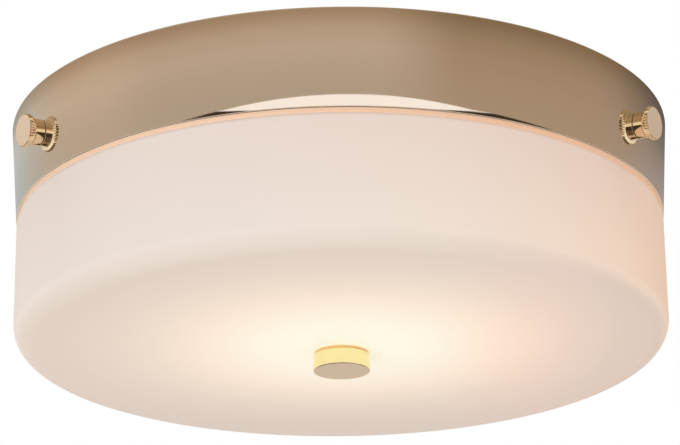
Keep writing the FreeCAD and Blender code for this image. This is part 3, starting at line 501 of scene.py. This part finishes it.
looks = {
    "polished_metal": polished_metal(),
    "turned_metal": turned_metal(),
    "finial_metal": finial_metal(),
    "opal_glass": opal_glass(),
    "clear_washer": clear_washer(),
    "zinc_steel": zinc_steel(),
    "white_foam": foam(),
    "lamp_cover": lamp_cover(),
    "sleeving": braid(),
    "dark_washer": plain(
        "dark_washer", (0.020, 0.014, 0.010), (0.055, 0.042, 0.030), 900.0, (0.45, 0.65), 0.00002),
    "aluminium": plain(
        "aluminium", (0.74, 0.74, 0.75), (0.84, 0.84, 0.84), 700.0, (0.28, 0.42), 0.000006,
        Metallic=1.0),
    "brass": plain(
        "brass", (0.70, 0.50, 0.22), (0.80, 0.62, 0.32), 500.0, (0.18, 0.34), 0.000005,
        Metallic=1.0),
    "white_enamel": plain(
        "white_enamel", (0.80, 0.80, 0.78), (0.85, 0.85, 0.83), 160.0, (0.16, 0.26), 0.00003,
        Coat_Weight=0.4, Coat_Roughness=0.08),
    "black_rubber": plain(
        "black_rubber", (0.018, 0.018, 0.018), (0.040, 0.039, 0.037), 600.0, (0.55, 0.75), 0.00003),
    "white_plastic": plain(
        "white_plastic", (0.78, 0.78, 0.76), (0.83, 0.83, 0.81), 400.0, (0.34, 0.46), 0.00002),
    "ceramic": plain(
        "ceramic", (0.74, 0.71, 0.64), (0.86, 0.84, 0.78), 1200.0, (0.5, 0.72), 0.00004),
    "lamp_base": plain(
        "lamp_base", (0.82, 0.82, 0.81), (0.86, 0.86, 0.85), 300.0, (0.22, 0.32), 0.00001),
    "wire": plain("wire", (0.70, 0.69, 0.66), (0.80, 0.79, 0.76), 800.0, (0.38, 0.5), 0.00002),
    "earth_wire": plain("earth_wire", (0.16, 0.42, 0.06), (0.62, 0.60, 0.05), 60.0, (0.38, 0.5)),
}


def dress(piece, node, body, look=None):
    """A piece of the scene takes the place and body of a CAD node, and the material of its slot unless
    another look is given; the node is hidden.
    """
    slot = node_slot[node]
    piece.data.materials.clear()
    piece.data.materials.append(looks[look or slot])
    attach(piece, body)
    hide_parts(node)
    return piece


# ------------------------------------------------------------- canopy
def make_canopy():
    profile = rounded([
        (CANOPY_TOP_R, 0, 0.6),
        (CANOPY_RIM_R, RIM_Z, 0.35),
        (LIP_R, RIM_Z, 0.15),
        (LIP_R, RIM_Z + SHEET, 0.15),
        (CANOPY_RIM_R - SHEET, RIM_Z + SHEET),
        (CANOPY_TOP_R - SHEET, -SHEET),
        (FLANGE_R, -SHEET, 0.15),
        (FLANGE_R, 0, 0.15),
    ], steps=8)
    canopy = lathed("canopy_skin", profile, 384)
    holes = []
    for azimuth in SCREW_AZIMUTHS.values():
        turn = math.radians(azimuth)
        spot = Vector((TRAY_SCREW_R * math.cos(turn), TRAY_SCREW_R * math.sin(turn), RIM_Z + 0.5))
        holes.append((TRAY_SCREW_HOLE_R, 5 * SHEET, Matrix.Translation(spot * MM)))
    return drilled(canopy, holes)


dress(make_canopy(), "canopy", "ceiling_body")


# ------------------------------------------------------------- thumb screws and their ferrules
def tooth(angle):
    """0 on the crest of a knurl tooth and 1 in the root, with a slightly rounded crest."""
    phase = (angle * KNURL_TEETH / (2 * math.pi)) % 1.0
    wave = abs(2 * phase - 1)
    return max(0.0, 1 - wave * 1.12)


def knurl_depth(r, largest_r):
    """Full depth on the rim, running out to nothing where the flare meets the neck."""
    return KNURL_DEPTH * min(1.0, max(0.0, (r - NECK_R) / (largest_r - NECK_R - 0.3)))


def make_ferrule(side):
    profile = rounded([
        (SOCKET_R, BUSH_SHANK_END),
        (BUSH_SHANK_R, BUSH_SHANK_END, 0.2),
        (BUSH_SHANK_R, 0.0),
        (BUSH_FLANGE_R, 0.0, 0.25),
        (BUSH_FLANGE_R, BUSH_FLANGE_T, 0.3),
        (NECK_R, BUSH_FLARE, 0.5),
        (NECK_R, BUSH_TOP, 0.05),
        (SOCKET_R, BUSH_TOP),
    ], steps=6, support=0.05)

    def radius_at(r, z, angle):
        return r - (knurl_depth(r, BUSH_FLANGE_R) * tooth(angle) if z >= 0 else 0.0)

    ferrule = lathed(f"ferrule_{side}", profile, KNURL_SEGMENTS, radius_at)
    return put_on_wall(ferrule, SCREW_AZIMUTHS[side])


def make_thumb_screw(side):
    floor = SCREW_NECK + SOCKET_DEPTH
    profile = rounded([
        (SOCKET_R, SCREW_NECK),
        (NECK_R, SCREW_NECK, 0.05),
        (NECK_R, HEAD_FLARE, 0.5),
        (HEAD_R, HEAD_RIM, 0.3),
        (HEAD_R, HEAD_FACE, 0.28),
        (0.0, HEAD_FACE),
        (0.0, floor),
        (SOCKET_R, floor),
    ], steps=6, support=0.05)

    def radius_at(r, z, angle):
        return r - (knurl_depth(r, HEAD_R) * tooth(angle) if z > HEAD_FLARE - 1.0 else 0.0)

    head = lathed(f"knurled_head_{side}", profile, KNURL_SEGMENTS, radius_at)
    face_z = (HEAD_FACE - 0.01) * MM
    satin = [1.0 if corner.co.z > face_z else 0.0 for corner in head.data.vertices]
    head.data.attributes.new("satin", "FLOAT", "POINT").data.foreach_set("value", satin)
    return put_on_wall(head, SCREW_AZIMUTHS[side])


def make_screw_washer(side):
    washer = lathed(f"dark_ring_{side}", rounded([
        (SOCKET_R, BUSH_TOP),
        (SCREW_WASHER_R, BUSH_TOP, 0.05),
        (SCREW_WASHER_R, BUSH_TOP + SCREW_WASHER_T, 0.05),
        (SOCKET_R, BUSH_TOP + SCREW_WASHER_T),
    ], steps=3, support=0.04), 96)
    return put_on_wall(washer, SCREW_AZIMUTHS[side])


for side in SCREW_AZIMUTHS:
    ferrule = dress(make_ferrule(side), f"screw_bush_{side}", "ceiling_body", "turned_metal")
    washer = dress(make_screw_washer(side), f"screw_washer_{side}", f"screw_washer_body_{side}")
    head = dress(
        make_thumb_screw(side), f"thumb_screw_{side}", f"thumb_screw_body_{side}", "turned_metal")
    for piece in (ferrule, washer, head):
        piece.visible_glossy = False


# ------------------------------------------------------------- glass, finial and rod
def make_glass():
    ceiling = GLASS_TOP - GLASS_WALL
    floor = GLASS_BOTTOM + GLASS_WALL
    profile = rounded([
        (GLASS_HOLE_R, GLASS_BOTTOM, 0.6),
        (GLASS_R, GLASS_BOTTOM, 7.5),
        (GLASS_R, GLASS_TOP, 2.5),
        (GLASS_NECK_R, GLASS_TOP, 2.0),
        (GLASS_NECK_R, GLASS_NECK_TOP, 1.0),
        (GLASS_NECK_R - GLASS_WALL, GLASS_NECK_TOP, 1.0),
        (GLASS_NECK_R - GLASS_WALL, ceiling, 2.0),
        (GLASS_R - GLASS_WALL, ceiling, 1.0),
        (GLASS_R - GLASS_WALL, floor, 5.5),
        (GLASS_HOLE_R, floor, 0.6),
    ], steps=14, support=0.4)
    return lathed("opal_drum", profile, 320)


def make_finial():
    bore_end = ROD_END - FINIAL_BORE_SPARE
    return lathed("finial_disc", rounded([
        (0.0, FINIAL_BOTTOM),
        (FINIAL_R, FINIAL_BOTTOM, 0.35),
        (FINIAL_R, FINIAL_TOP, 0.35),
        (FINIAL_BORE_R, FINIAL_TOP, 0.2),
        (FINIAL_BORE_R, bore_end),
        (0.0, bore_end),
    ], steps=6, support=0.08), 192)


def make_finial_washer():
    low = FINIAL_TOP + FINIAL_WASHER_GAP
    high = low + FINIAL_WASHER_T
    return lathed("finial_ring", rounded([
        (FINIAL_WASHER_HOLE_R, low, 0.1),
        (FINIAL_WASHER_R, low, 0.2),
        (FINIAL_WASHER_R, high, 0.2),
        (FINIAL_WASHER_HOLE_R, high, 0.1),
    ], steps=4, support=0.05), 160)


def make_rod():
    """The centre rod with a real M6 thread: a helix of V ridges with flattened crests."""
    round_steps, per_turn = 48, 8
    low, high = ROD_END, ROD_TOP
    rows = int((high - low) / THREAD_PITCH * per_turn)
    verts, faces = [], []
    for i in range(rows + 1):
        z = low + (high - low) * i / rows
        ends = min(1.0, min(z - low, high - z) / 0.8)
        for k in range(round_steps):
            angle = 2 * math.pi * k / round_steps
            phase = ((z - low) / THREAD_PITCH - k / round_steps) % 1.0
            ridge = min(1.0, max(0.0, 1.3 * abs(2 * phase - 1) - 0.15))
            r = (ROD_R - THREAD_DEPTH * ridge) * (0.8 + 0.2 * ends)
            verts.append((r * math.cos(angle), r * math.sin(angle), z))
    for i in range(rows):
        for k in range(round_steps):
            j = (k + 1) % round_steps
            a, b = i * round_steps, (i + 1) * round_steps
            faces.append([a + k, a + j, b + j, b + k])
    faces.append(list(range(round_steps))[::-1])
    faces.append(list(range(rows * round_steps, (rows + 1) * round_steps)))
    return finish_mesh("threaded_rod", verts, faces, 75.0)


dress(make_glass(), "glass_shade", "glass")
dress(make_finial(), "finial", "finial_body", "finial_metal")
dress(make_finial_washer(), "finial_washer", "finial_washer_body")
dress(make_rod(), "centre_rod", "ceiling_body")

# ------------------------------------------------------------- carried-over nodes
for name, node in frame["nodes"].items():
    if node.hide_render:
        continue
    look = looks[node_slot[name]]
    for spot in node.material_slots:
        spot.material = look
    if not node.material_slots:
        node.data.materials.append(look)
    if name.startswith("screw_stem"):
        node.visible_glossy = False

# ------------------------------------------------------------- studio
FLOOR_Z = -3.2
FLOOR_SIZE = 40.0
KEY_PLACE = (-1.1, -1.5, -0.55)
KEY_POWER = 8.0
KEY_SIZE = 1.6
CAMERA_PLACE = (0, -0.9463, -0.3776)
CAMERA_PITCH = 20.06
CAMERA_ROLL = -0.66
CAMERA_LENS = 145.7


def make_floor():
    bpy.ops.mesh.primitive_plane_add(size=FLOOR_SIZE, location=(0, 0, FLOOR_Z))
    floor = bpy.context.object
    floor.name = "floor"
    paint = plain("floor_paint", (0.84, 0.835, 0.825), (0.87, 0.865, 0.855), 3.0, (0.7, 0.85))
    floor.data.materials.append(paint)
    floor.visible_glossy = False


def metal_room(n):
    """The studio that the metal mirrors, by direction: colours as they are before the plating.

    "drop" is 0 where the top of the canopy's band looks and 1 where its rim looks, and runs on
    below that. "around" is the bearing in degrees: 0 towards the front, 90 to the right.
    """
    towards = n.add("ShaderNodeTexCoord").outputs["Generated"]
    x, y, z = n.add("ShaderNodeSeparateXYZ", {"Vector": towards}).outputs
    around = n.math("MULTIPLY", n.math("ARCTAN2", x, n.math("MULTIPLY", y, -1.0)), 180 / math.pi)
    away = n.math("ABSOLUTE", around)
    away_2 = n.math("MULTIPLY", away, away)
    slope = n.math("MULTIPLY_ADD", away_2, -2.4e-11, 3.5e-6)
    rim_looks = n.math("MULTIPLY_ADD", slope, away_2, 0.2587)
    depth = n.math("MULTIPLY_ADD", away_2, -1.7e-7, 0.0335)
    drop = n.math("SUBTRACT", 1.0, n.math("DIVIDE", n.math("SUBTRACT", z, rim_looks), depth))

    def beyond(high, low, rate):
        """rate for each degree by which high lies above low, and 0 where it lies below."""
        return n.math("MULTIPLY", n.math("MAXIMUM", n.math("SUBTRACT", high, low), 0.0), rate)

    left = n.ramp(drop, [
        (0.00, (0.37, 0.28, 0.205)),
        (0.07, (0.42, 0.32, 0.25)),
        (0.20, (0.50, 0.41, 0.34)),
        (0.40, (0.53, 0.45, 0.39)),
        (0.80, (0.48, 0.41, 0.36)),
        (1.00, (0.47, 0.41, 0.36)),
    ])
    right = n.ramp(drop, [
        (0.00, (0.24, 0.18, 0.11)),
        (0.06, (0.27, 0.20, 0.14)),
        (0.20, (0.34, 0.26, 0.19)),
        (0.40, (0.39, 0.30, 0.24)),
        (0.60, (0.41, 0.32, 0.25)),
        (1.00, (0.42, 0.34, 0.27)),
    ])
    back = n.ramp(drop, [
        (0.00, (0.12, 0.10, 0.09)),
        (0.06, (0.14, 0.12, 0.11)),
        (0.20, (0.18, 0.15, 0.13)),
        (0.40, (0.22, 0.19, 0.17)),
        (0.60, (0.29, 0.25, 0.23)),
        (1.00, (0.38, 0.34, 0.34)),
    ])
    walls = n.mix(n.span(around, 10.0, 45.0), left, right)
    walls = n.mix(n.span(around, 95.0, 150.0), walls, back)
    pale = n.mix(n.span(around, -60.0, -90.0), (1.0, 1.0, 1.0), (1.10, 1.10, 1.10))
    pale = n.mix(n.span(around, -105.0, -150.0), pale, (1.02, 1.27, 1.50))
    walls = n.mix(1.0, walls, pale, "MULTIPLY")
    above = n.mix(n.span(x, -0.6, 0.6), (0.50, 0.43, 0.36), (0.34, 0.27, 0.21))
    walls = n.mix(n.span(z, 0.36, 0.60), walls, above)

    # a white sweep whose upper edge is a low arc, seen along the foot of the band, with the narrow
    # dark gap beneath it showing at both of its ends, and the walls again below that
    aside = n.math("SUBTRACT", around, 3.0)
    arc_edge = n.math("MULTIPLY_ADD", n.math("MULTIPLY", aside, aside), 4.3e-5, 0.892)
    past_ends = n.math("ADD", beyond(around, 52.0, 0.0013), beyond(-41.0, around, 0.003))
    gap_edge = n.math("ADD", past_ends, 0.97)
    under_edge = n.span(n.math("SUBTRACT", drop, n.math("MINIMUM", arc_edge, gap_edge)), -0.005, 0.005)
    lift = n.math("ADD", beyond(around, 22.0, 0.0019), beyond(-22.0, around, 0.003))
    sweep_foot = n.math("SUBTRACT", 1.03, lift)
    lit = n.span(n.math("SUBTRACT", sweep_foot, drop), -0.005, 0.005)
    arc = n.mix(lit, (0.05, 0.035, 0.022), (1.03, 1.04, 1.12))
    room = n.mix(under_edge, walls, arc)
    room = n.mix(n.span(drop, 1.08, 1.14), room, walls)

    # lower still: a bright stretch of floor, the dark beneath the camera, and a tan wall behind
    room = n.mix(n.span(z, 0.14, 0.128), room, (1.0, 1.0, 1.0))
    shade = n.span(z, -0.24, -0.28)
    dark = n.mix(n.span(z, -0.66, -0.80), (0.06, 0.045, 0.035), (0.14, 0.11, 0.085))
    tan = n.mix(n.span(x, -0.1, 0.25), (0.30, 0.24, 0.19), (0.72, 0.64, 0.56))
    sideways = n.math("MULTIPLY", n.span(away, 74.0, 88.0), n.span(z, -0.74, -0.80))
    dark = n.mix(sideways, dark, tan)
    room = n.mix(shade, room, dark)
    rear = n.math("MULTIPLY", n.span(y, 0.55, 0.75), n.span(z, 0.10, 0.0))
    return n.mix(rear, room, (0.66, 0.58, 0.51))


def make_world():
    """White for the camera and through glass; metal mirrors the studio round the light."""
    world = bpy.data.worlds.new("studio")
    scene.world = world
    world.use_nodes = True
    world.node_tree.nodes.clear()
    n = Nodes(world.node_tree)
    path = n.add("ShaderNodeLightPath").outputs
    white = n.add("ShaderNodeBackground", {"Color": (1.0, 1.0, 1.0), "Strength": 1.0})
    mirrored = n.add("ShaderNodeBackground", {"Color": metal_room(n), "Strength": 1.0})
    ambient = n.add("ShaderNodeBackground", {"Color": (1.0, 1.0, 1.0), "Strength": 0.72})
    first = n.add("ShaderNodeMixShader", {
        0: path["Is Glossy Ray"], 1: ambient.outputs[0], 2: mirrored.outputs[0],
    })
    straight = n.math("MAXIMUM", path["Is Camera Ray"], path["Is Transmission Ray"])
    last = n.add("ShaderNodeMixShader", {0: straight, 1: first.outputs[0], 2: white.outputs[0]})
    n.add("ShaderNodeOutputWorld", {"Surface": last.outputs[0]})


def make_light():
    """One large soft light, low and to the left of the camera."""
    lamp = bpy.data.lights.new("soft_key", "AREA")
    lamp.energy = KEY_POWER
    lamp.size = KEY_SIZE
    key = bpy.data.objects.new("soft_key", lamp)
    key.location = KEY_PLACE
    key.rotation_euler = (-Vector(key.location)).to_track_quat("-Z", "Y").to_euler()
    key.visible_glossy = False
    scene.collection.objects.link(key)


def make_camera():
    """At the photograph's place: in front, below, looking up, rolled by a fraction of a degree."""
    pitch, roll = math.radians(CAMERA_PITCH), math.radians(CAMERA_ROLL)
    forward = Vector((0, math.cos(pitch), math.sin(pitch)))
    right = forward.cross(Vector((0, 0, 1))).normalized()
    up = right.cross(forward)
    turned_right = right * math.cos(roll) + up * math.sin(roll)
    turned_up = up * math.cos(roll) - right * math.sin(roll)
    axes = Matrix((turned_right, turned_up, -forward)).transposed()
    data = bpy.data.cameras.new("camera")
    data.lens = CAMERA_LENS
    data.sensor_width = 36.0
    data.clip_end = 50.0
    camera = bpy.data.objects.new("camera", data)
    camera.matrix_world = Matrix.Translation(CAMERA_PLACE) @ axes.to_4x4()
    scene.collection.objects.link(camera)
    scene.camera = camera


make_floor()
make_world()
make_light()
make_camera()
scene.view_settings.view_transform = "Standard"
